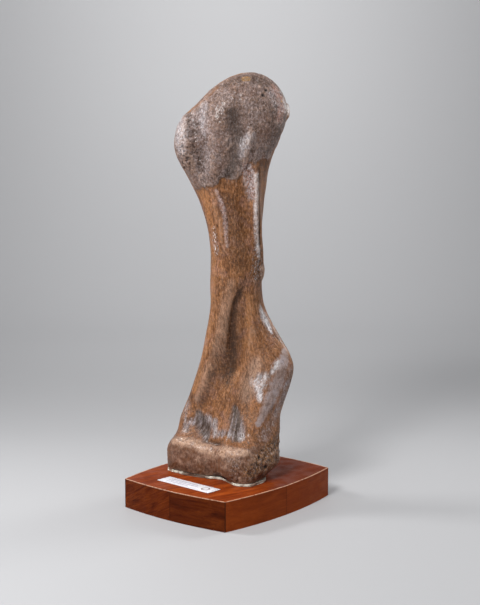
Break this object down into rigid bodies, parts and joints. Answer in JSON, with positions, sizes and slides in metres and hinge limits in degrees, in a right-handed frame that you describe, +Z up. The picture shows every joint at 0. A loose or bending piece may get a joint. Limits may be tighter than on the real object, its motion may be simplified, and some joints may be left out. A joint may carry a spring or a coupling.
{
  "type": "fossil humerus on plinth",
  "caption": "Fossil mammoth humerus, the upper foreleg bone, bedded upright in white putty on a varnished wooden plinth with bowed sides, with a label card in front.",
  "frame": {"origin": "on the floor, under the middle of the plinth", "axes": "+Z up along the bone; -Y towards the label side, which the bone's front faces; +X towards the bone's outer (lateral) side; +Y towards the side that the head of the bone faces"},
  "size_m": [0.3414, 0.4022, 0.982],
  "materials": {
    "fossil_bone": "lacquered, uneven gloss",
    "plinth_wood": "varnished",
    "facing_wood": "varnished",
    "white_putty": "matte",
    "label_card": "smooth"
  },
  "bodies": {
    "root": {"humerus": "fossil_bone", "plinth_core": "plinth_wood", "facing_front_left": "facing_wood", "facing_front_right": "facing_wood", "facing_right_front": "facing_wood", "facing_right_back": "facing_wood", "facing_back_right": "facing_wood", "facing_back_left": "facing_wood", "facing_left_back": "facing_wood", "facing_left_front": "facing_wood", "putty_bed": "white_putty", "label_card": "label_card"}
  },
  "joints": []
}
